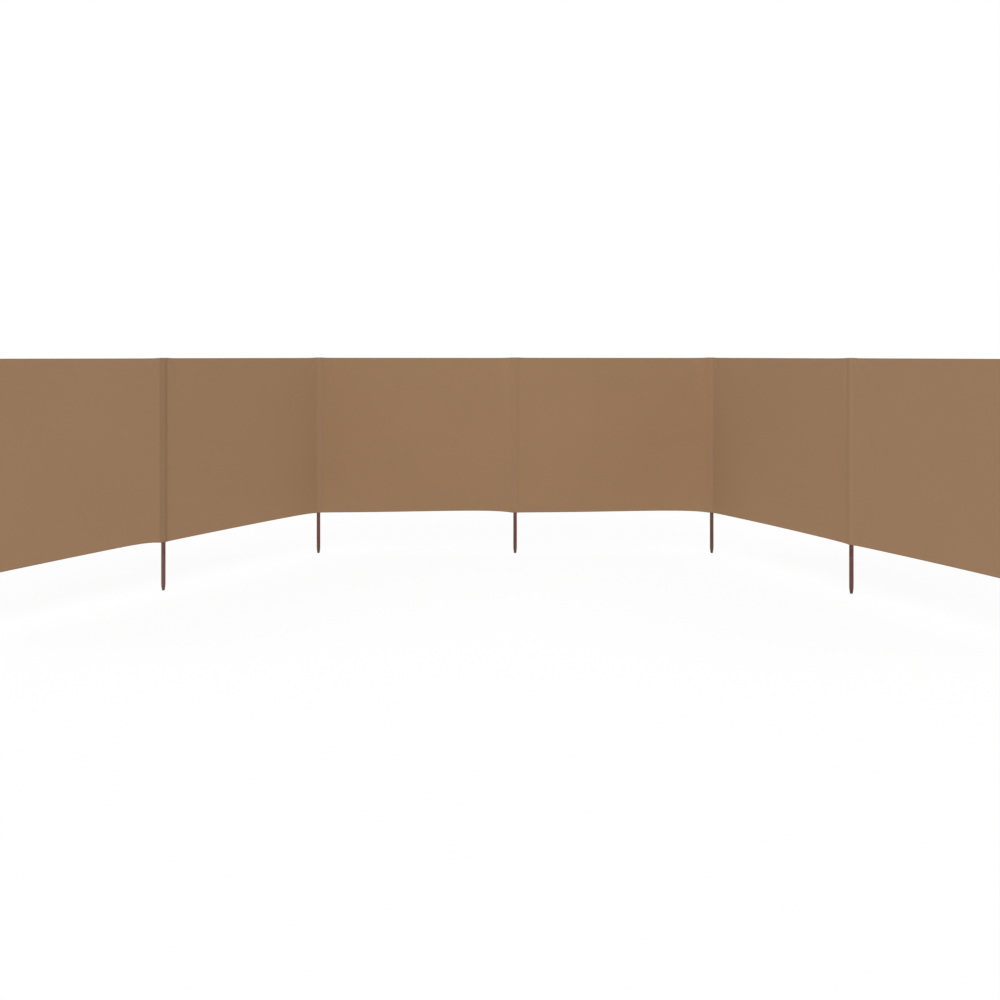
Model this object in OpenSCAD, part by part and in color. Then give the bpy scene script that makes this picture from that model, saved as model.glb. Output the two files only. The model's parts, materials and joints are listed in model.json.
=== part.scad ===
// Beach windbreak: one long strip of plain cloth sewn into tunnels round seven wooden poles.
// Z is up, X runs along the two middle bays, and the open side of the enclosure faces -Y.
// The origin is the blunt end of the middle pole's point. Bays are numbered from left to right.

/* [Layout] */
// Distance between the axes of two neighbouring poles
bay_pitch = 1210; // [700:10:1600]
// How far the two left bays turn forward
left_turn = 58.5; // [20:0.5:75]
// How far the two right bays turn forward
right_turn = 66.5; // [20:0.5:75]

/* [Poles] */
// Length of a pole, from its blunt tip to its top
pole_length = 1200; // [800:10:1600]
// Diameter of a pole
pole_d = 22; // [14:1:34]
// Length of the point that goes into the ground
point_length = 35; // [10:1:60]
// Diameter of the blunt end of the point
tip_d = 12; // [6:0.5:13]

/* [Cloth] */
// Height of the cloth, measured down from the top of the poles
cloth_height = 950; // [500:10:1100]
// Thickness of the cloth panel
cloth_thickness = 1.2; // [0.8:0.1:3]
// Thickness of the folded hems along the top and the bottom
hem_thickness = 2; // [1.2:0.1:5]
// Height of the folded hems
hem_height = 28; // [15:1:60]

/* [Billow] */
// How far a middle bay stands back where it is deepest
middle_billow = 30; // [5:1:60]
// Where along its length a middle bay is deepest
middle_deepest = 0.72; // [0.5:0.01:0.8]
// How far a wing bay stands out where it is deepest
wing_billow = 12; // [5:1:60]
// Where along its length a wing bay is deepest
wing_deepest = 0.5; // [0.5:0.01:0.8]

/* [Tunnels] */
// Thickness of the sewn tunnel round each pole
tunnel_thickness = 1.3; // [0.8:0.1:3]
// Clearance between a pole and its tunnel, and between a tunnel and the cloth beside it
seat_gap = 0.3; // [0.2:0.05:1]

/* [Hidden] */
$fn = 64;
bays = 6;
poles = bays + 1;
middle_pole = 4;
// The bend to the left wing is at pole 3 and the bend to the right wing is at pole 5.
left_bend = 3;
right_bend = 5;
cloth_bottom = pole_length - cloth_height;
tunnel_bore_r = pole_d / 2 + seat_gap;
tunnel_r = tunnel_bore_r + tunnel_thickness;
// A bay's cloth starts and ends just clear of its two tunnels.
bay_start = tunnel_r + seat_gap;
bay_end = bay_pitch - tunnel_r - seat_gap;
billow_steps = 32;
// How far a cut runs past the face that it opens
cut_over = 1;

POLE_NODES = [for (i = [1 : poles]) str("pole_", i)];
TUNNEL_NODES = [for (i = [1 : poles]) str("pocket_", i)];
BAY_NODES = [for (i = [1 : bays]) str("bay_", i)];

// Direction in plan of bay i, from its left pole to its right pole
function bay_turn(i) = i < left_bend ? left_turn : i < right_bend ? 0 : -right_turn;

// One bay's pitch, in plan, in the direction of an angle
function one_bay(angle) = bay_pitch * [cos(angle), sin(angle)];

// Place in plan of pole i, worked outwards along the bays from the middle pole
function pole_place(i) =
    i == middle_pole ? [0, 0] :
    i > middle_pole ? pole_place(i - 1) + one_bay(bay_turn(i - 1)) :
    pole_place(i + 1) - one_bay(bay_turn(i));

function in_middle(i) = i >= left_bend && i < right_bend;
function billow(i) = in_middle(i) ? middle_billow : wing_billow;
function deepest(i) = in_middle(i) ? middle_deepest : wing_deepest;

// How far the cloth of bay i stands back at share s of its length: an arch, skewed towards its deepest place
function stand_back(i, s) = billow(i) * sin(180 * pow(s, ln(0.5) / ln(deepest(i))));

// Points in plan along one face of the cloth of bay i, at a distance to the side of its middle
function cloth_line(i, side) = [
    for (k = [0 : billow_steps])
        let (s = k / billow_steps)
        [bay_start + s * (bay_end - bay_start), stand_back(i, s) + side]
];

function reversed(list) = [for (k = [len(list) - 1 : -1 : 0]) list[k]];

// Plan outline of the cloth of bay i
module cloth_plan(i, thickness) {
    polygon(concat(cloth_line(i, -thickness / 2), reversed(cloth_line(i, thickness / 2))));
}

module cloth_strip(i, thickness, bottom, height) {
    translate([0, 0, bottom]) linear_extrude(height) cloth_plan(i, thickness);
}

// Round wooden pole with a blunt point
module pole(i) {
    color("saddlebrown")
    translate(pole_place(i)) {
        cylinder(h = point_length, d1 = tip_d, d2 = pole_d);
        translate([0, 0, point_length]) cylinder(h = pole_length - point_length, d = pole_d);
    }
}

// Sewn tunnel, closed at its top, which sits on the pole's end
module pocket(i) {
    color("peru")
    translate(concat(pole_place(i), cloth_bottom))
    difference() {
        cylinder(h = cloth_height + seat_gap + tunnel_thickness, r = tunnel_r);
        translate([0, 0, -cut_over]) cylinder(h = cloth_height + seat_gap + cut_over, r = tunnel_bore_r);
    }
}

// One bay of cloth with its folded top and bottom hems
module bay(i) {
    color("tan")
    translate(pole_place(i)) rotate(bay_turn(i)) {
        cloth_strip(i, cloth_thickness, cloth_bottom, cloth_height);
        cloth_strip(i, hem_thickness, cloth_bottom, hem_height);
        cloth_strip(i, hem_thickness, pole_length - hem_height, hem_height);
    }
}

for (i = [1 : poles]) {
    pole(i);
    pocket(i);
}
for (i = [1 : bays]) {
    bay(i);
}
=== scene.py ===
import json
import math
from collections import namedtuple
from functools import partial

import bpy
import numpy as np
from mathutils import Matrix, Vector, noise


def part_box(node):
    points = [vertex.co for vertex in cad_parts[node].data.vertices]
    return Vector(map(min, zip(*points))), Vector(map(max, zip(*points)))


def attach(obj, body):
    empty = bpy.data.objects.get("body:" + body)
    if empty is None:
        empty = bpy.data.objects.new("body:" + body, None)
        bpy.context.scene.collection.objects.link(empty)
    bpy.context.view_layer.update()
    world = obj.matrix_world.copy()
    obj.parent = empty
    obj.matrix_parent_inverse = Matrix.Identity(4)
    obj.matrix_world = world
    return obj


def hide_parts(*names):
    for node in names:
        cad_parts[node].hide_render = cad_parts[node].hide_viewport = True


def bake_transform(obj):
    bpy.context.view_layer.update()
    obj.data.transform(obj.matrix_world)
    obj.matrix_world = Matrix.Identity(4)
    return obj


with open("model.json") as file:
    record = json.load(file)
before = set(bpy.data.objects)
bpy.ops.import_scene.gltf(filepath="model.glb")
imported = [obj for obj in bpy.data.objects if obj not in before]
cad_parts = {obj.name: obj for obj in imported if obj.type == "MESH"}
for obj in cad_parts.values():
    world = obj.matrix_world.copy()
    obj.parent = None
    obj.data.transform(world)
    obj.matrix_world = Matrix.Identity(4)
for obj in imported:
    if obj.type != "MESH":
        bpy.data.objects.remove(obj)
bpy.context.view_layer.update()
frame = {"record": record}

body_with = {
    node: body
    for body, nodes in frame["record"]["behaviour"]["bodies"].items()
    for node in nodes
}

# Poles. Round softwood stakes, turned smooth, stained a dark red-brown and cut to a blunt point.
# Each is only pushed up into a tunnel of the cloth, so it is a piece by itself.
POLES = range(1, 8)
POLE_SIDES = 28
POINT = 0.035
BLUNT_RADIUS = 0.0074
BLUNT_ROUNDING = 0.0045
TOP_ROUNDING = 0.0012
ROUNDING_STEPS = 4
POINT_STEPS = 8
POINT_BULGE = 0.13
SHAFT_STEP = 0.016
TOP_STEPS = 3
TURNING_MARKS = 0.00016

pole_box = {number: np.array(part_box(f"pole_{number}")) for number in POLES}
pole_place = {number: box.mean(axis=0)[:2] for number, box in pole_box.items()}
pole_radius = float(pole_box[4][1][0] - pole_box[4][0][0]) / 2
pole_height = float(pole_box[4][1][2])


def pole_profile():
    """Radius and height of each ring of a pole, from the blunt end to the top."""
    rings = [(BLUNT_RADIUS - BLUNT_ROUNDING, 0.0)]
    for step in range(1, ROUNDING_STEPS + 1):
        turn = math.radians(90 * step / ROUNDING_STEPS)
        rings.append((
            BLUNT_RADIUS - BLUNT_ROUNDING * (1 - math.sin(turn)),
            BLUNT_ROUNDING * (1 - math.cos(turn)),
        ))
    for step in range(1, POINT_STEPS + 1):
        share = step / POINT_STEPS
        eased = min(share + POINT_BULGE * math.sin(math.pi * share), 1.0)
        rings.append((
            BLUNT_RADIUS + (pole_radius - BLUNT_RADIUS) * eased,
            BLUNT_ROUNDING + (POINT - BLUNT_ROUNDING) * share,
        ))
    shaft_end = pole_height - TOP_ROUNDING
    steps = round((shaft_end - POINT) / SHAFT_STEP)
    for step in range(1, steps + 1):
        rings.append((pole_radius, POINT + (shaft_end - POINT) * step / steps))
    for step in range(1, TOP_STEPS + 1):
        turn = math.radians(90 * step / TOP_STEPS)
        rings.append((
            pole_radius - TOP_ROUNDING * (1 - math.cos(turn)),
            shaft_end + TOP_ROUNDING * math.sin(turn),
        ))
    return rings


def turned_pole(number):
    """One pole as a closed mesh, with the faint unevenness that turning leaves."""
    x, y = pole_place[number]
    rings = pole_profile()
    points = [(x, y, 0.0)]
    for radius, z in rings:
        for side in range(POLE_SIDES):
            angle = math.tau * side / POLE_SIDES
            spot = Vector((3 * math.cos(angle), 3 * math.sin(angle), 9 * z + 20 * number))
            worn = TURNING_MARKS * (noise.noise(spot) - 0.5) * radius / pole_radius
            points.append((
                x + (radius + worn) * math.cos(angle),
                y + (radius + worn) * math.sin(angle),
                z,
            ))
    points.append((x, y, pole_height))
    faces = []
    for side in range(POLE_SIDES):
        after = (side + 1) % POLE_SIDES
        faces.append((0, 1 + after, 1 + side))
        for ring in range(len(rings) - 1):
            low = 1 + ring * POLE_SIDES
            high = low + POLE_SIDES
            faces.append((low + side, low + after, high + after, high + side))
        last = 1 + (len(rings) - 1) * POLE_SIDES
        faces.append((last + side, last + after, len(points) - 1))
    mesh = bpy.data.meshes.new(f"pole_{number}_wood")
    mesh.from_pydata(points, [], faces)
    return mesh


def shown(mesh, material):
    """An object at the origin that shows a finished mesh, smooth except at its real edges."""
    piece = bpy.data.objects.new(mesh.name, mesh)
    bpy.context.scene.collection.objects.link(piece)
    mesh.materials.clear()
    mesh.materials.append(material)
    mesh.polygons.foreach_set("use_smooth", [True] * len(mesh.polygons))
    mesh.set_sharp_from_angle(angle=math.radians(50))
    mesh.update()
    return piece


class Value:
    """A shader socket that arithmetic works on."""

    def __init__(self, wiring, socket):
        self.wiring = wiring
        self.socket = socket

    def maths(self, operation, *terms):
        return self.wiring.node("Math", {"operation": operation}, dict(enumerate(terms)))

    def __add__(self, other):
        return self.maths("ADD", self, other)

    def __sub__(self, other):
        return self.maths("SUBTRACT", self, other)

    def __rsub__(self, other):
        return self.maths("SUBTRACT", other, self)

    def __mul__(self, other):
        return self.maths("MULTIPLY", self, other)

    __radd__ = __add__
    __rmul__ = __mul__


class Wiring:
    """A node tree, and the way that nodes are added to it."""

    def __init__(self, tree):
        self.tree = tree

    def node(self, kind, settings=None, inputs=None, output=0):
        """One node of a type, its settings made first, then its sockets. Gives one output."""
        made = self.tree.nodes.new("ShaderNode" + kind)
        for key, value in (settings or {}).items():
            if key == "stops":
                elements = made.color_ramp.elements
                while len(elements) < len(value):
                    elements.new(0.5)
                for element, (place, colour) in zip(elements, value):
                    element.position = place
                    element.color = (*colour, 1.0)
            else:
                setattr(made, key, value)
        for key, value in (inputs or {}).items():
            self.wire(made.inputs[key], value)
        return Value(self, made.outputs[output])

    def wire(self, socket, value):
        if isinstance(value, Value):
            self.tree.links.new(value.socket, socket)
        elif socket.type == "RGBA":
            socket.default_value = (*value, 1.0)
        else:
            socket.default_value = value


class Finish(Wiring):
    """A node material: its Principled shader, and whatever is wired into it."""

    def __init__(self, name, **constants):
        self.material = bpy.data.materials.new(name)
        self.material.use_nodes = True
        super().__init__(self.material.node_tree)
        self.shader = self.tree.nodes["Principled BSDF"]
        self.set(**constants)

    def set(self, **sockets):
        for name, value in sockets.items():
            self.wire(self.shader.inputs[name.replace("_", " ")], value)

    def mixed(self, share, first, second):
        """A colour between two colours."""
        return self.node("Mix", {"data_type": "RGBA"}, {0: share, 6: first, 7: second}, output=2)

    def noise(self, points, stretch, scale, detail=2.0, rough=0.5):
        """Noise over a vector of points that is first stretched along each axis."""
        placed = self.node("Mapping", {}, {"Vector": points, "Scale": stretch})
        return self.node("TexNoise", {}, {
            "Vector": placed, "Scale": scale, "Detail": detail, "Roughness": rough,
        })

    def band(self, value, start, end, low=0.0, high=1.0):
        """A value carried from one range to another, and held at its ends."""
        return self.node("MapRange", {}, {
            "Value": value, "From Min": start, "From Max": end, "To Min": low, "To Max": high,
        })


def stained_wood():
    """Straight-grained softwood under a thin red-brown stain, darker and greyer towards the point.
    """
    finish = Finish("stained_wood", Specular_IOR_Level=0.35)
    place = finish.node("TexCoord", output=3)
    grain = finish.noise(place, (1.0, 1.0, 0.04), 300.0, 4.0, 0.6)
    fibres = finish.noise(place, (1.0, 1.0, 0.02), 1400.0)
    patches = finish.noise(place, (1.0, 1.0, 0.3), 9.0)
    point_edge_noise = finish.noise(place, (1.0, 1.0, 0.5), 140.0, 3.0, 0.6)
    height = finish.node("SeparateXYZ", {}, {0: place}, output=2)
    stain = finish.node("ValToRGB", {"stops": [
        (0.30, (0.058, 0.018, 0.012)),
        (0.46, (0.114, 0.036, 0.024)),
        (0.58, (0.160, 0.058, 0.038)),
        (0.74, (0.222, 0.100, 0.068)),
    ]}, {0: grain * 0.7 + patches * 0.3})
    greyed = finish.mixed(finish.band(patches, 0.52, 0.68, 0.0, 0.4), stain, (0.130, 0.092, 0.072))
    pored = finish.mixed(finish.band(fibres, 0.57, 0.66, 0.0, 0.5), greyed, (0.036, 0.018, 0.013))
    # Mask that darkens and greys the point below about four centimetres, its edge broken up by
    # noise.
    worn = finish.band(height + point_edge_noise * 0.03, 0.020, 0.044, 0.85, 0.0)
    finish.set(
        Base_Color=finish.mixed(worn, pored, (0.042, 0.036, 0.038)),
        Roughness=grain * 0.25 + 0.40,
        Normal=finish.node("Bump", {}, {"Height": grain * 0.7 + fibres * 0.3, "Distance": 0.0004}),
    )
    return finish.material


wood = stained_wood()
for number in POLES:
    pole = shown(turned_pole(number), wood)
    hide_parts(f"pole_{number}")
    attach(pole, body_with[f"pole_{number}"])

# Bays. Plain woven polyester in one tan-brown, cut as one long strip and held taut from pole to
# pole. Its top and bottom edges are turned in twice to the back and sewn down. It draws in a
# little between the poles, so each hem leaves the straight line, most near one end of a bay.
BAYS = range(1, 7)
MIDDLE_BAYS = (3, 4)
CLOTH_THICKNESS = 0.0005
LAYER = 0.0006
HEM = 0.026
HEM_TUCK = 0.009
SEAM_X = 0.022
PEAK = 0.0035

pitch = float(np.linalg.norm(pole_place[4] - pole_place[3]))
cloth_bottom = float(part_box("bay_3")[0][2])
cloth_top = pole_height + PEAK


def bay_line(number):
    """A bay's left pole in plan, the direction to its right pole, and the side of its back."""
    start, end = pole_place[number], pole_place[number + 1]
    run = (end - start) / np.linalg.norm(end - start)
    return start, run, np.array([-run[1], run[0]])


bay_lines = {number: bay_line(number) for number in BAYS}

# How far each bay's bottom hem and every top hem are drawn in, the powers that the draw follows
# from the left pole and at the right pole, and how far the top eases down beside a pole.
BOTTOM_DRAW = {1: 0.017, 2: 0.006, 3: 0.0095, 4: 0.0095, 5: 0.0015, 6: 0.0015}
TOP_DRAW = 0.0010
LATE_DRAW = (1.5, 14)
EVEN_DRAW = (0.15, 20)
TOP_EASE = 0.0022
TOP_EASE_REACH = 0.025


def drawn(share, rise, end):
    """Share of its whole draw that a hem has at a share of its bay."""
    return share ** rise * (1 - share ** end)


def bay_share(x):
    """A distance from a bay's left pole as a share of its cloth from seam to seam."""
    return min(max((x - SEAM_X) / (pitch - 2 * SEAM_X), 0.0), 1.0)


def from_seam(x):
    """Distance from a place on a bay to the nearer of its two pocket seams."""
    return min(x, pitch - x) - SEAM_X


def edges(number, x):
    """Heights of a bay's bottom and top edge at a distance x from its left pole."""
    share = bay_share(x)
    powers = EVEN_DRAW if number > MIDDLE_BAYS[-1] else LATE_DRAW
    ease = TOP_EASE * (1 - math.exp(-max(from_seam(x), 0.0) / TOP_EASE_REACH))
    bottom = cloth_bottom + BOTTOM_DRAW[number] * drawn(share, *powers)
    return bottom, cloth_top - ease - TOP_DRAW * drawn(share, *LATE_DRAW)


PLEATED_BAYS = (3, 4, 5)
# Length of a pleat, its width at its foot, how much wider it is at its top, and its depth.
PLEAT_LENGTH = 0.42
PLEAT_FOOT = 0.018
PLEAT_SPREAD = 0.062
PLEAT_DEPTH = 0.0022


def pleat(number, x, z):
    """Strength of the soft pleat that runs down from the top of a bay's right-hand pole."""
    if number not in PLEATED_BAYS:
        return 0.0
    fall = max(0.0, 1 - (cloth_top - z) / PLEAT_LENGTH)
    across = (pitch - SEAM_X - x) / (PLEAT_FOOT + PLEAT_SPREAD * fall)
    return fall ** 0.5 * math.exp(-((across - 0.5) / 0.42) ** 2) if across < 3 else 0.0


# Size of each kind of unevenness, and how far it reaches from its seam, hem or corner.
SWELL = 0.0016
SEAM_PUCKER, SEAM_PUCKER_REACH = 0.0007, 0.022
HEM_PUCKER, HEM_PUCKER_REACH = 0.0005, 0.014
CORNER_DRAG, CORNER_DRAG_REACH = 0.0010, 0.24
# Distances over which the drag starts at its corner, and the evenness that a seam holds ends.
DRAG_START = 0.05
SEAM_HOLD = 0.012


def relief(number, x, z):
    """Small unevenness of taut cloth: slow swells, and puckers along its seams and hems."""
    ends = from_seam(x)
    if ends <= 0:
        return 0.0
    low, high = edges(number, x)
    swell = SWELL * noise.noise(Vector((2.3 * x, 2.1 * z, 7.0 * number)))
    seam = SEAM_PUCKER * math.exp(-ends / SEAM_PUCKER_REACH)
    seam *= noise.noise(Vector((4 * x, 62 * z, 3.0 * number)))
    pucker = 0.0
    for edge, seed in ((z - low, 11.0), (high - z, 31.0)):
        near = math.exp(-abs(edge - HEM) / HEM_PUCKER_REACH)
        pucker += HEM_PUCKER * near * noise.noise(Vector((58 * x, 5 * z, seed + number)))
    corner = math.hypot(ends, high - z)
    fan = math.atan2(high - z, ends)
    drag = CORNER_DRAG * math.exp(-corner / CORNER_DRAG_REACH) * math.sin(9 * fan)
    drag *= min(corner / DRAG_START, 1.0)
    hold = 1 - math.exp(-((ends / SEAM_HOLD) ** 2))
    return hold * (swell + seam + pucker + drag - PLEAT_DEPTH * pleat(number, x, z))


# How far the cloth stands back where it is deepest, and where that is, as a share of the bay,
# and how far its pull round the fronts of the poles holds it forward beside them.
MIDDLE_BILLOW = (0.030, 0.72)
WING_BILLOW = (0.012, 0.5)
FRONT_HOLD = 0.005
FRONT_HOLD_REACH = 0.06


def on_bay(number, x, z, depth=0.0):
    """A point on a bay's cloth, at a depth behind the middle of its front layer."""
    start, run, rear = bay_lines[number]
    deepest, place = MIDDLE_BILLOW if number in MIDDLE_BAYS else WING_BILLOW
    stand_back = deepest * math.sin(math.pi * bay_share(x) ** (math.log(0.5) / math.log(place)))
    forward = FRONT_HOLD * math.exp(-max(from_seam(x), 0.0) / FRONT_HOLD_REACH)
    spot = start + run * x + rear * (stand_back - forward + relief(number, x, z) + depth)
    return float(spot[0]), float(spot[1]), z


def fold(edge, side, before, after, steps=5):
    """Distance and depth of the points round a fold that turns the cloth over."""
    middle, radius = (before + after) / 2, abs(after - before) / 2
    turns = [math.pi * step / (steps + 1) for step in range(1, steps + 1)]
    return [
        (edge + side * radius * math.sin(turn), middle + (before - middle) * math.cos(turn))
        for turn in turns
    ]


def turned_hem():
    """The double hem in section, from its tucked raw edge round to the face of the cloth: each
    point's distance in from the edge, and its depth behind the front layer."""
    return [
        (HEM - HEM_TUCK, LAYER),
        *fold(HEM - LAYER / 2, 1, LAYER, 2 * LAYER),
        (HEM / 2, 2 * LAYER),
        *fold(LAYER, -1, 2 * LAYER, 0.0),
        (LAYER, 0.0),
    ]


FACE_ROWS = (0.006, 0.013, 0.0195, HEM, 0.033, 0.042)
FINE_STEP = 0.004
FINE_REACH = 0.048
COARSE_STEP = 0.0125


def bay_section(low, high):
    """Height and depth of each row of a bay's cloth, from the bottom hem to the top hem."""
    hem = turned_hem()
    steps = round((cloth_top - cloth_bottom - 2 * FACE_ROWS[-1]) / COARSE_STEP)
    clear = high - low - 2 * FACE_ROWS[-1]
    return [
        *((low + edge, depth) for edge, depth in hem),
        *((low + edge, 0.0) for edge in FACE_ROWS),
        *((low + FACE_ROWS[-1] + clear * step / steps, 0.0) for step in range(1, steps)),
        *((high - edge, 0.0) for edge in reversed(FACE_ROWS)),
        *((high - edge, depth) for edge, depth in reversed(hem)),
    ]


def bay_columns():
    """Distances of a bay's columns from its left pole, closer together beside the pockets."""
    near = [SEAM_X + FINE_STEP * step for step in range(round(FINE_REACH / FINE_STEP))]
    clear = pitch - 2 * (SEAM_X + FINE_REACH)
    steps = round(clear / COARSE_STEP)
    middle = [SEAM_X + FINE_REACH + clear * step / steps for step in range(steps + 1)]
    return near + middle + [pitch - x for x in reversed(near)]


# Painted light and shade on the cloth: a painted highlight down a pleat, painted light on a hem,
# painted shade on a fold, and a painted shadow where a pole shows through.
PAINTED_PLEAT_HIGHLIGHT = 0.02
PAINTED_HEM_LIGHT = 0.012
PAINTED_FOLD_SHADE = 0.22
FOLD_SHADE_WIDTH = 0.0016
PAINTED_POLE_SHADOW_TONE = {2: 0.15, 3: 0.016, 4: 0.008, 5: 0.008, 6: 0.006}
PAINTED_END_POLE_SHADOW_TONE = 0.03
POLE_SHADOW_WIDTH = 0.0255
POLE_SHADOW_SHIFT = 0.004


def painted_pole_shadow(pole, offset):
    """Painted shadow of a pole and its sleeve on the face of the cloth: how much darker it is at an
    offset from the pole.
    """
    tone = PAINTED_POLE_SHADOW_TONE.get(pole, PAINTED_END_POLE_SHADOW_TONE)
    return tone * math.exp(-((offset + POLE_SHADOW_SHIFT) / POLE_SHADOW_WIDTH) ** 8)


def shade_at(number, x, z):
    """Painted light and shade on the cloth: lighter down a pleat and on a hem, darker on a folded
    edge and where a pole's shadow is painted.
    """
    low, high = edges(number, x)
    edge = min(z - low, high - z)
    # Painted highlight down a pleat.
    shade = PAINTED_PLEAT_HIGHLIGHT * pleat(number, x, z)
    # Painted shadow of the poles at both ends of the bay.
    shade -= painted_pole_shadow(number, x) + painted_pole_shadow(number + 1, x - pitch)
    # Painted light on the hem band.
    if edge < HEM:
        shade += PAINTED_HEM_LIGHT
    # Painted shade along the folded top and bottom edges.
    return shade - PAINTED_FOLD_SHADE * math.exp(-(edge / FOLD_SHADE_WIDTH) ** 2)


def cloth_shell(name, grid, strip):
    """A closed cloth of even thickness on a grid of points, whose rows run up the cloth and whose
    columns run to the right. Its strip attribute holds each point's place along the strip, its
    place up the strip, and its painted light and shade."""
    grid = np.asarray(grid, float)
    strip = np.asarray(strip, np.float32)
    rows, columns = grid.shape[:2]
    out = np.cross(np.gradient(grid, axis=1), np.gradient(grid, axis=0))
    out /= np.maximum(np.linalg.norm(out, axis=2, keepdims=True), 1e-12)
    half = out * CLOTH_THICKNESS / 2
    points = np.concatenate([(grid + half).reshape(-1, 3), (grid - half).reshape(-1, 3)])
    place = np.arange(rows * columns).reshape(rows, columns)
    corners = [place[:-1, :-1], place[:-1, 1:], place[1:, 1:], place[1:, :-1]]
    face = np.stack(corners, axis=2).reshape(-1, 4)
    back = face[:, ::-1] + rows * columns
    rim = np.concatenate([place[0, :], place[1:, -1], place[-1, -2::-1], place[-2:0:-1, 0]])
    after = np.roll(rim, -1)
    side = np.stack([rim, rim + rows * columns, after + rows * columns, after], axis=1)
    mesh = bpy.data.meshes.new(name)
    mesh.from_pydata(points.tolist(), [], np.concatenate([face, back, side]).tolist())
    both = np.concatenate([strip.reshape(-1, 3)] * 2)
    mesh.attributes.new("strip", "FLOAT_VECTOR", "POINT").data.foreach_set("vector", both.ravel())
    return mesh


def lengths(points):
    """Distance along a line of points to each of them."""
    steps = np.linalg.norm(np.diff(np.asarray(points, float), axis=0), axis=1)
    return np.concatenate([[0.0], np.cumsum(steps)])


CLOTH_COLOUR = (0.301, 0.180, 0.098)
YARN_PITCH = 0.0008


def woven_cloth():
    """Plain-woven polyester, dyed through: matt and even, with slightly uneven yarns."""
    finish = Finish("woven_cloth", Specular_IOR_Level=0.18, Sheen_Weight=0.06, Sheen_Roughness=0.5)
    strip = finish.node("Attribute", {"attribute_name": "strip"}, output=1)
    along = finish.node("SeparateXYZ", {}, {0: strip}, output=0)
    up = finish.node("SeparateXYZ", {}, {0: strip}, output=1)
    shade = finish.node("SeparateXYZ", {}, {0: strip}, output=2)
    yarn = math.pi / YARN_PITCH
    crossing = (along * yarn).maths("COSINE", along * yarn) * (up * yarn).maths("COSINE", up * yarn)
    warp = finish.noise(strip, (14.0, 900.0, 0.0), 1.0)
    weft = finish.noise(strip, (900.0, 14.0, 0.0), 1.0)
    cloud = finish.noise(finish.node("TexCoord", output=3), (1.0, 1.0, 1.0), 3.1, 3.0)
    # shade is the painted light and shade from the strip attribute: painted highlights, painted
    # shade and painted pole shadows.
    tone = crossing * 0.04 + (warp + weft - 1.0) * 0.10 + (cloud - 0.5) * 0.05 + shade + 1.0
    finish.set(
        Base_Color=finish.node("VectorMath", {"operation": "SCALE"}, {0: CLOTH_COLOUR, 3: tone}),
        Roughness=0.86 - crossing * 0.05,
        Normal=finish.node("Bump", {}, {
            "Height": crossing * 0.6 + (warp + weft) * 0.5, "Distance": 0.00016,
        }),
    )
    return finish.material


cloth = woven_cloth()
columns = bay_columns()
for number in BAYS:
    sections = [bay_section(*edges(number, x)) for x in columns]
    up = lengths(sections[0])
    grid, strip = [], []
    for row, height in enumerate(up):
        line = [(x, *sections[index][row]) for index, x in enumerate(columns)]
        grid.append([on_bay(number, x, z, depth) for x, z, depth in line])
        strip.append([
            (number * pitch + x, height, shade_at(number, x, z)) for x, z, depth in line
        ])
    bay = shown(cloth_shell(f"bay_{number}_cloth", grid, strip), cloth)
    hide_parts(f"bay_{number}")
    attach(bay, body_with[f"bay_{number}"])

# Pockets. Behind each inner pole a strip of the same cloth, its sides turned in, is sewn to the
# back of the cloth, and the two make a tunnel that is sewn shut over the pole's end. At the two
# ends the cloth itself is taken round the pole and sewn down behind.
POLE_EASE = 0.00095
FLANGE = 0.027
FLANGE_TUCK = 0.0232
FLANGE_STEPS = (0.0015, 0.0030)
SLEEVE_GAP = 0.004
SLEEVE_HEM = 0.013
WRAP_STEPS = 34
ROW_STEP = 0.020
CLOSING_STEPS = 6
CLOSING_TURN = 88.5
CLOSING_GAP = 0.0008
SIDE_RISE = 0.4
FAR_SIDE = 0.55
HEM_BLEND = 0.009
SLEEVE_SLACK = 0.0006
FRONT_SLACK = 0.4
SLACK_FADE = 0.03

closing_height = pole_height + CLOSING_GAP

Layer = namedtuple("Layer", "pole start_bay start_back end_bay end_back turn folds")


def pocket_layers(number):
    """A pocket's layers. Each runs from one seam to another, on a bay's face or on its back,
    with the pole on its left or its right, and its bottom is turned in a number of times."""
    if number == POLES[0]:
        return [Layer(number, number, True, number, False, 1, 2)]
    if number == POLES[-1]:
        return [Layer(number, number - 1, False, number - 1, True, 1, 2)]
    return [
        Layer(number, number - 1, False, number, False, 1, 2),
        Layer(number, number - 1, True, number, True, -1, 1),
    ]


def near_hem(edge, hem):
    """One within a hem, and fading to nothing just past it."""
    return min(max((hem + HEM_BLEND - edge) / HEM_BLEND, 0.0), 1.0)


def hem_room(layer, z):
    """Room that a layer leaves inside it for its own turned-in bottom."""
    if layer.folds == 2:
        return 2 * LAYER * near_hem(z - cloth_bottom, HEM)
    return LAYER * near_hem(z - cloth_bottom - SLEEVE_GAP, SLEEVE_HEM)


def back_depth(layer, z):
    """Depth of the outside of a layer that is sewn down on the back of a bay."""
    bay_hem = max(near_hem(z - cloth_bottom, HEM), near_hem(cloth_top - z, HEM))
    return 2 * LAYER * (1 + bay_hem) + hem_room(layer, z)


def seam_spot(layer, at_end, z, inward):
    """Place in plan, from the pole's axis, where a layer meets the seam beside a bay."""
    bay, back = layer[3:5] if at_end else layer[1:3]
    _, run, rear = bay_lines[bay]
    side = 1 if bay == layer.pole else -1
    depth = back_depth(layer, z) - inward if back else inward
    return side * SEAM_X * run + (depth - FRONT_HOLD) * rear


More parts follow.
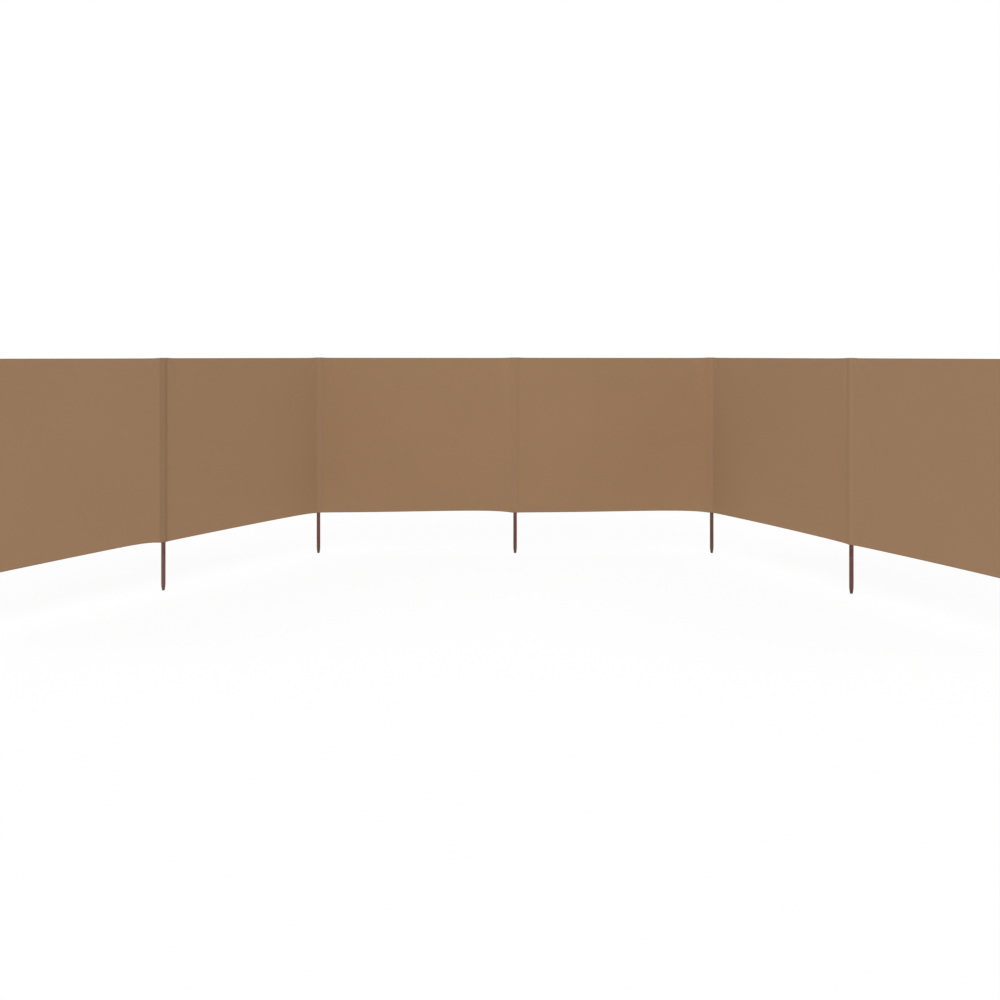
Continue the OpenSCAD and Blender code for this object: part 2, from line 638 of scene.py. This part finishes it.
def taut_round(start, end, reach, turn, share):
    """Place on the shortest line from start to end that stays a reach away from the axis."""
    near, far = np.linalg.norm(start), np.linalg.norm(end)
    first = math.atan2(start[1], start[0])
    sweep = turn * (math.atan2(end[1], end[0]) - first) % math.tau
    if sweep < math.pi:
        chord = end - start
        clear = abs(start[0] * end[1] - start[1] * end[0]) / np.linalg.norm(chord)
        reach = max(reach, clear)
    angle = share * sweep
    lead, trail = math.acos(min(reach / near, 1.0)), math.acos(min(reach / far, 1.0))
    away = reach / math.cos(max(lead - angle, angle - sweep + trail, 0.0))
    return away * np.array([math.cos(first + turn * angle), math.sin(first + turn * angle)])


def wrapped(layer, share, z, inward=0.0):
    """Place in plan of a layer of a pocket, at a share of its way round the pole."""
    loose = SLEEVE_SLACK * (1.0 if layer.folds == 1 else FRONT_SLACK)
    slack = loose * (1 + noise.noise(Vector((3 * share, 34 * z, 5.0 * layer.pole))))
    slack *= math.sin(math.pi * share) ** 2 * min((cloth_top - z) / SLACK_FADE, 1.0)
    reach = pole_radius + POLE_EASE + hem_room(layer, z) - inward + slack
    spot = taut_round(
        seam_spot(layer, False, z, inward), seam_spot(layer, True, z, inward),
        reach, layer.turn, share,
    )
    return pole_place[layer.pole] + spot


def closing_line(layers, layer, share):
    """Place in plan of the closed top of a pocket, between its front and its back. At an end
    pole it is between the two sides of the one layer, and nearer the axis past the pole."""
    here = wrapped(layer, share, closing_height)
    if len(layers) == 1:
        middle = (here + wrapped(layer, 1 - share, closing_height)) / 2 - pole_place[layer.pole]
        _, run, _ = bay_lines[layer.start_bay]
        outward = -1 if layer.start_bay == layer.pole else 1
        return pole_place[layer.pole] + middle * (FAR_SIDE if outward * middle @ run > 0 else 1)
    other = layers[1] if layer is layers[0] else layers[0]
    return (here + wrapped(other, share, closing_height)) / 2


def layer_rows(layer):
    """Height, inward depth and closing turn of each row of a layer, from its tucked-in bottom
    edge to the closed top."""
    if layer.folds == 2:
        low, hem = cloth_bottom, turned_hem()
    else:
        low = cloth_bottom + SLEEVE_GAP
        hem = [(SLEEVE_HEM, LAYER), *fold(LAYER / 2, -1, LAYER, 0.0), (LAYER / 2, 0.0)]
    top_of_hem = low + FACE_ROWS[-1]
    steps = round((closing_height - top_of_hem) / ROW_STEP)
    rows = [(low + edge, inward, 0.0) for edge, inward in hem]
    rows += [(low + edge, 0.0, 0.0) for edge in FACE_ROWS]
    for step in range(1, steps + 1):
        rows.append((top_of_hem + (closing_height - top_of_hem) * step / steps, 0.0, 0.0))
    for step in range(1, CLOSING_STEPS + 1):
        rows.append((closing_height, 0.0, math.radians(CLOSING_TURN * step / CLOSING_STEPS)))
    return rows


def layer_point(layers, layer, share, z, inward, closing):
    """A point of a layer. Where the top closes it leans in and rises, but not at an end that is
    sewn down behind a bay."""
    spot = wrapped(layer, share, z, inward)
    if closing == 0:
        return float(spot[0]), float(spot[1]), z
    sewn_behind = layer.start_back if share < 0.5 else layer.end_back
    rise = (cloth_top - closing_height) * math.sin(closing)
    if sewn_behind and share in (0, 1):
        return float(spot[0]), float(spot[1]), z + rise * SIDE_RISE
    spot = spot + (closing_line(layers, layer, share) - spot) * (1 - math.cos(closing))
    return float(spot[0]), float(spot[1]), z + rise


def flange_line():
    """Distance past the pole and extra depth of each column of a sewn-down side, outwards from
    the pole, with its edge turned under."""
    return [
        *((SEAM_X + step, 0.0) for step in FLANGE_STEPS),
        (FLANGE - LAYER / 2, 0.0),
        *fold(FLANGE - LAYER / 2, 1, 0.0, LAYER, 3),
        (FLANGE - LAYER / 2, LAYER),
        (FLANGE_TUCK, LAYER),
    ]


def flange_point(layer, at_end, distance, under, z, inward, closing):
    """A point of a sewn-down side, which only rises a little where the top closes."""
    bay = layer.end_bay if at_end else layer.start_bay
    x = distance if bay == layer.pole else pitch - distance
    rise = SIDE_RISE * (cloth_top - closing_height) * math.sin(closing)
    return on_bay(bay, x, z + rise, back_depth(layer, z) - inward - under)


def pocket_shell(layers, layer):
    """The closed mesh of one layer of a pocket, and the size that it is cut to."""
    columns = []
    if layer.start_back:
        columns += [partial(flange_point, layer, False, *spot) for spot in reversed(flange_line())]
    for step in range(WRAP_STEPS + 1):
        columns.append(partial(layer_point, layers, layer, step / WRAP_STEPS))
    if layer.end_back:
        columns += [partial(flange_point, layer, True, *spot) for spot in flange_line()]
    if layer.turn < 0:
        columns.reverse()
    rows = layer_rows(layer)
    grid = np.array([[column(*row) for column in columns] for row in rows])
    along = lengths(grid[len(rows) // 2])
    up = lengths(grid[:, len(columns) // 2])
    is_face = not (layer.start_back or layer.end_back)
    strip = []
    for (z, inward, closing), height in zip(rows, up):
        # Painted shade along the bottom fold and over the closed top, and on a face layer the
        # painted shadow of its pole.
        edge = math.exp(-((z - cloth_bottom) / FOLD_SHADE_WIDTH) ** 2) + math.sin(closing) ** 8
        strip.append([
            (
                layer.pole * pitch + reach,
                height,
                -PAINTED_FOLD_SHADE * edge - (painted_pole_shadow(layer.pole, reach) if is_face else 0.0),
            )
            for reach in along - along[-1] / 2
        ])
    part = "sleeve" if layer.folds == 1 else "front"
    mesh = cloth_shell(f"pocket_{layer.pole}_{part}", grid, strip)
    return mesh, (float(along[-1]), float(up[-1]))


def folded_over(piece, pole):
    """Let a piece that crosses an end pole ride on it; at an inner pole its place is only baked
    into its mesh.
    """
    if pole in (POLES[0], POLES[-1]):
        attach(piece, body_with[f"pole_{pole}"])
        return
    before, after = bay_lines[pole - 1][1], bay_lines[pole][1]
    across = before + after
    reach = SEAM_X * np.linalg.norm(across) / 2 * across / np.linalg.norm(across)
    start, end = pole_place[pole] - reach, pole_place[pole] + reach
    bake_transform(piece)


for number in POLES:
    layers = pocket_layers(number)
    for layer in layers:
        mesh, cut = pocket_shell(layers, layer)
        pocket = shown(mesh, cloth)
        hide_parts(f"pocket_{number}")
        folded_over(pocket, number)

# Stitching. Polyester thread of the cloth's own colour, in a plain lockstitch: one row along each
# hem and one down each side of every pocket, showing on the face and on the back alike.
STITCH_PITCH = 0.0034
STITCH_LENGTH = 0.0027
THREAD_RADIUS = 0.0002
STITCH_RISE = 0.0004
STITCH_SINK = 0.00014
HEM_ROW = 0.0225
SLEEVE_ROW = 0.0095
SEAM_ROW = 0.0245
ROW_POINT_STEP = 0.010
CROSSING_STEPS = {"inner": 12, "end": 24}
# How far the back rows of the hems start past a sewn-down side, and how far a seam's rows start
# above its bottom edge and stop below its top.
HEM_ROW_START = 0.0005
SEAM_START = 0.002
SEAM_STOP = 0.003
THREAD_COLOUR = (0.250, 0.147, 0.081)


def sewing_thread():
    """Twisted polyester thread, a little darker and shinier than the cloth."""
    finish = Finish("sewing_thread", Roughness=0.6, Specular_IOR_Level=0.3)
    place = finish.node("TexCoord", output=3)
    twist = finish.noise(place, (1.0, 1.0, 1.0), 2600.0)
    length = finish.noise(place, (1.0, 1.0, 1.0), 40.0)
    tone = (twist - 0.5) * 0.5 + (length - 0.5) * 0.3 + 1.0
    finish.set(
        Base_Color=finish.node("VectorMath", {"operation": "SCALE"}, {0: THREAD_COLOUR, 3: tone}),
        Normal=finish.node("Bump", {}, {"Height": twist, "Distance": 0.0001}),
    )
    return finish.material


def lockstitch(thread):
    """Geometry Nodes tree that sews along every line of a mesh, with the thread's arch turned
    to the side that the line's out attribute gives."""
    tree = bpy.data.node_groups.new("lockstitch", "GeometryNodeTree")
    sockets = tree.interface
    sockets.new_socket("Rows", in_out="INPUT", socket_type="NodeSocketGeometry")
    sizes = {
        "Stitch pitch": STITCH_PITCH, "Stitch length": STITCH_LENGTH,
        "Thread radius": THREAD_RADIUS, "Stitch rise": STITCH_RISE, "Stitch sink": STITCH_SINK,
    }
    for name in sizes:
        sockets.new_socket(name, in_out="INPUT", socket_type="NodeSocketFloat")
    sockets.new_socket("Stitches", in_out="OUTPUT", socket_type="NodeSocketGeometry")

    def add(kind, settings=None, inputs=None):
        node = tree.nodes.new(kind)
        for key, value in (settings or {}).items():
            setattr(node, key, value)
        for key, value in (inputs or {}).items():
            if isinstance(value, bpy.types.NodeSocket):
                tree.links.new(value, node.inputs[key])
            else:
                node.inputs[key].default_value = value
        return node.outputs[0]

    given = tree.nodes.new("NodeGroupInput").outputs
    lines = add("GeometryNodeMeshToCurve", {}, {"Mesh": given["Rows"]})
    spots = add("GeometryNodeResampleCurve", {"mode": "LENGTH"}, {
        "Curve": lines, "Length": given["Stitch pitch"],
    })
    half = add("ShaderNodeMath", {"operation": "MULTIPLY"}, {0: given["Stitch length"], 1: 0.5})
    minus_half = add("ShaderNodeMath", {"operation": "MULTIPLY"}, {0: half, 1: -1.0})
    minus_sink = add("ShaderNodeMath", {"operation": "MULTIPLY"}, {
        0: given["Stitch sink"], 1: -1.0,
    })
    arch = add("GeometryNodeCurveQuadraticBezier", {}, {
        "Resolution": 2,
        "Start": add("ShaderNodeCombineXYZ", {}, {"X": minus_half, "Z": minus_sink}),
        "Middle": add("ShaderNodeCombineXYZ", {}, {"Z": given["Stitch rise"]}),
        "End": add("ShaderNodeCombineXYZ", {}, {"X": half, "Z": minus_sink}),
    })
    ring = add("GeometryNodeCurvePrimitiveCircle", {}, {
        "Resolution": 4, "Radius": given["Thread radius"],
    })
    stitch = add("GeometryNodeCurveToMesh", {}, {
        "Curve": arch, "Profile Curve": ring, "Fill Caps": True,
    })
    outward = add("GeometryNodeInputNamedAttribute", {"data_type": "FLOAT_VECTOR"}, {"Name": "out"})
    turn = add("FunctionNodeAxesToRotation", {"primary_axis": "X", "secondary_axis": "Z"}, {
        0: add("GeometryNodeInputTangent"), 1: outward,
    })
    sewn = add("GeometryNodeInstanceOnPoints", {}, {
        "Points": spots, "Instance": stitch, "Rotation": turn,
    })
    real = add("GeometryNodeRealizeInstances", {}, {"Geometry": sewn})
    last = add("GeometryNodeSetMaterial", {}, {"Geometry": real, "Material": thread})
    tree.links.new(last, tree.nodes.new("NodeGroupOutput").inputs["Stitches"])
    return tree, sizes


def sewn_rows(name, rows):
    """One piece with the stitches of several rows, each a list of places and outward sides."""
    points = [place for row in rows for place, out in row]
    sides = np.array([out for row in rows for place, out in row], np.float32)
    edges_of_rows, first = [], 0
    for row in rows:
        edges_of_rows += [(first + step, first + step + 1) for step in range(len(row) - 1)]
        first += len(row)
    lines = bpy.data.meshes.new(name + "_rows")
    lines.from_pydata(points, edges_of_rows, [])
    lines.attributes.new("out", "FLOAT_VECTOR", "POINT").data.foreach_set("vector", sides.ravel())
    guide = bpy.data.objects.new(name + "_guide", lines)
    bpy.context.scene.collection.objects.link(guide)
    sewing = guide.modifiers.new("sewing", "NODES")
    sewing.node_group = stitch_tree
    for item in stitch_tree.interface.items_tree:
        if item.name in stitch_sizes:
            sewing[item.identifier] = stitch_sizes[item.name]
    posed = guide.evaluated_get(bpy.context.evaluated_depsgraph_get())
    mesh = bpy.data.meshes.new_from_object(posed)
    mesh.name = name
    bpy.data.objects.remove(guide)
    bpy.data.meshes.remove(lines)
    return shown(mesh, thread)


def steps_between(start, end):
    """Evenly spaced values from start to end, for the points of a row."""
    count = max(round(abs(end - start) / ROW_POINT_STEP), 1)
    return [start + (end - start) * step / count for step in range(count + 1)]


def hem_stitches(number):
    """The rows along a bay's two hems, on its face and on its back."""
    rear = bay_lines[number][2]
    face, back = -CLOTH_THICKNESS / 2, 2 * LAYER + CLOTH_THICKNESS / 2
    rows = []
    for depth, side, start in ((face, -1, SEAM_X), (back, 1, FLANGE + HEM_ROW_START)):
        out = (side * float(rear[0]), side * float(rear[1]), 0.0)
        along = steps_between(start, pitch - start)
        for at_top in (False, True):
            row = []
            for x in along:
                low, high = edges(number, x)
                z = high - HEM_ROW if at_top else low + HEM_ROW
                row.append((on_bay(number, x, z, depth), out))
            rows.append(row)
    return rows


def seam_stitches(number, pole):
    """The rows beside a pole that sew its pocket to a bay, on the face and on the back."""
    rear = bay_lines[number][2]
    layer = pocket_layers(pole)[-1]
    x = SEAM_ROW if number == pole else pitch - SEAM_ROW
    bottom = cloth_bottom + (SEAM_START if layer.folds == 2 else SLEEVE_GAP + SEAM_START)
    rows = []
    for side in (-1, 1):
        out = (side * float(rear[0]), side * float(rear[1]), 0.0)
        row = []
        for z in steps_between(bottom, closing_height - SEAM_STOP):
            surface = back_depth(layer, z) if side > 0 else 0.0
            row.append((on_bay(number, x, z, side * CLOTH_THICKNESS / 2 + surface), out))
        rows.append(row)
    return rows


def crossing_stitches(number):
    """The hem rows that run on round a pole, across its pocket's layers."""
    layers = pocket_layers(number)
    steps = CROSSING_STEPS["inner" if len(layers) == 2 else "end"]
    rows = []
    for layer in layers:
        z = cloth_bottom + (HEM_ROW if layer.folds == 2 else SLEEVE_GAP + SLEEVE_ROW)
        row = []
        for step in range(steps + 1):
            spot = wrapped(layer, step / steps, z, -CLOTH_THICKNESS / 2)
            out = spot - pole_place[number]
            out = out / np.linalg.norm(out)
            row.append(((float(spot[0]), float(spot[1]), z), (float(out[0]), float(out[1]), 0.0)))
        rows.append(row)
    return rows


thread = sewing_thread()
stitch_tree, stitch_sizes = lockstitch(thread)
for number in BAYS:
    rows = hem_stitches(number) + seam_stitches(number, number) + seam_stitches(number, number + 1)
    stitches = sewn_rows(f"bay_{number}_stitches", rows)
    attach(stitches, body_with[f"bay_{number}"])
for number in POLES:
    stitches = sewn_rows(f"pocket_{number}_stitches", crossing_stitches(number))
    folded_over(stitches, number)

# Studio. A plain white floor under an even sky, with one broad soft lamp before the windbreak and
# one on each side for its wings, all seen level from just above the top of the cloth.
FLOOR_HALF = 40.0
FLOOR_COLOUR = (0.9, 0.9, 0.9)
# Share of plain white in what the camera sees of the floor.
FLOOR_PLAIN = 0.9
SKY = 0.65
LAMP_SPREAD = math.radians(30)
# Each lamp's turn about the upright and tilt from it, in degrees, and its strength.
LAMPS = {"front": (0, 55, 1.11), "left": (-90, 50, 0.72), "right": (90, 50, 0.54)}


def studio_floor():
    """White floor that still takes a part of the windbreak's shadow."""
    finish = Finish("studio_floor", Base_Color=FLOOR_COLOUR, Roughness=0.9, Specular_IOR_Level=0.0)
    white = finish.node("Emission", {}, {"Color": (1.0, 1.0, 1.0), "Strength": 1.0})
    seen = finish.node("LightPath", output=0) * FLOOR_PLAIN
    lit = Value(finish, finish.shader.outputs[0])
    mix = finish.node("MixShader", {}, {0: seen, 1: lit, 2: white})
    finish.wire(finish.tree.nodes["Material Output"].inputs["Surface"], mix)
    return finish.material


floor_mesh = bpy.data.meshes.new("studio_floor")
floor_mesh.from_pydata([
    (-FLOOR_HALF, -FLOOR_HALF, 0), (FLOOR_HALF, -FLOOR_HALF, 0),
    (FLOOR_HALF, FLOOR_HALF, 0), (-FLOOR_HALF, FLOOR_HALF, 0),
], [], [(0, 1, 2, 3)])
floor_mesh.materials.append(studio_floor())
floor = bpy.data.objects.new("studio_floor", floor_mesh)
bpy.context.scene.collection.objects.link(floor)

sky = bpy.data.worlds.new("studio_sky")
sky.use_nodes = True
backdrop = sky.node_tree.nodes["Background"]
wiring = Wiring(sky.node_tree)
wiring.wire(backdrop.inputs["Color"], (1.0, 1.0, 1.0))
wiring.wire(backdrop.inputs["Strength"], wiring.node("LightPath", output=0) * (1 - SKY) + SKY)
bpy.context.scene.world = sky

for side, (turn, tilt, strength) in LAMPS.items():
    lamp_data = bpy.data.lights.new(f"{side}_lamp", "SUN")
    lamp_data.energy = strength
    lamp_data.angle = LAMP_SPREAD
    lamp = bpy.data.objects.new(f"{side}_lamp", lamp_data)
    lamp.rotation_euler = (math.radians(tilt), 0, math.radians(turn))
    bpy.context.scene.collection.objects.link(lamp)

camera_data = bpy.data.cameras.new("camera")
camera_data.sensor_width = 36
camera_data.lens = 37.98
camera_data.shift_x = 0.0070
camera_data.shift_y = -0.1445
camera = bpy.data.objects.new("camera", camera_data)
camera.location = (-0.136, -6.4925, 1.2156)
camera.rotation_euler = (math.radians(90), 0, 0)
bpy.context.scene.collection.objects.link(camera)
bpy.context.scene.camera = camera
bpy.context.scene.view_settings.view_transform = "Standard"
